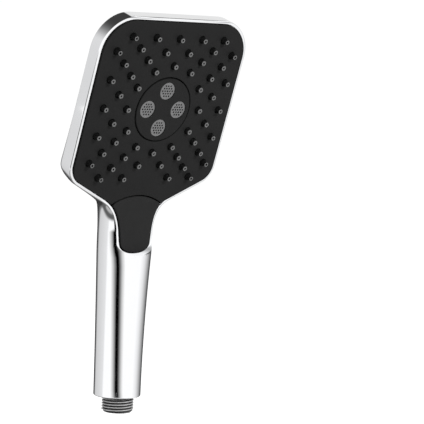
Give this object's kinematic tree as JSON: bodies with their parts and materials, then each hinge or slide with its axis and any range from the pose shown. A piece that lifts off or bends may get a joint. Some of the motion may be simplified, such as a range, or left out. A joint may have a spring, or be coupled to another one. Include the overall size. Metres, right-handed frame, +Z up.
{
  "type": "handheld shower head",
  "caption": "Handheld shower head with a flat rounded-square spray face, silicone nozzles, a raised centre disc and a push-button selector in its chrome neck.",
  "frame": {"origin": "centre of the end face of the inlet nipple's thread", "axes": "+Z up the handle from the inlet to the head, -Y the way the spray face looks, +X to the right seen from the spray face"},
  "size_m": [0.1194, 0.0687, 0.2594],
  "materials": {
    "chrome": "mirror bright plating",
    "satin_black": "satin charcoal",
    "button_black": "satin charcoal",
    "silicone": "matt",
    "inlet_grey": "dull grey",
    "white_plastic": "satin",
    "grey_plastic": "satin",
    "steel": "satin",
    "spring_steel": "bright drawn wire",
    "rubber": "matt"
  },
  "bodies": {
    "handle": {"chrome_body": "chrome", "inlet_nipple": "inlet_grey", "nipple_o_ring": "rubber", "inlet_strainer": "steel", "flow_regulator": "grey_plastic", "tube_seal_lower": "rubber", "water_tube": "white_plastic", "tube_seal_upper": "rubber", "valve_body": "white_plastic", "valve_cap": "grey_plastic", "riser_outer_spray": "white_plastic", "riser_centre_spray": "white_plastic", "button_bracket": "grey_plastic", "bracket_screw_left": "steel", "bracket_screw_right": "steel", "button_spring": "spring_steel", "button_pin": "steel", "spray_chamber": "white_plastic", "disc_seal": "rubber", "nozzle_mat": "silicone", "face_plate": "satin_black", "centre_disc": "satin_black", "spray_mesh_1": "steel", "spray_mesh_2": "steel", "spray_mesh_3": "steel", "spray_mesh_4": "steel", "chamber_screw_1": "steel", "chamber_screw_2": "steel", "chamber_screw_3": "steel", "chamber_screw_4": "steel"},
    "button": {"button": "button_black"},
    "plunger": {"plunger": "white_plastic"},
    "selector": {"selector_rotor": "grey_plastic", "ratchet_wheel": "white_plastic"}
  },
  "joints": [
    {"name": "button_press", "type": "hinge", "parent": "handle", "child": "button", "pos_m": [0, -0.007, 0.132], "axis": [1, 0, 0], "range_deg": [0, 4], "stiffness_Nm_per_rad": 1, "springref_deg": -2.86, "deforming": ["button_spring"]},
    {"name": "plunger_slide", "type": "slide", "parent": "handle", "child": "plunger", "axis": [0, 1, 0], "range_m": [0, 0.001]},
    {"name": "selector_turn", "type": "hinge", "parent": "handle", "child": "selector", "pos_m": [0, 0, 0.118], "axis": [0, 1, 0], "continuous": true}
  ],
  "couplings": [
    {"joint": "plunger_slide", "follows": "button_press", "m_per_rad": 0.014}
  ]
}
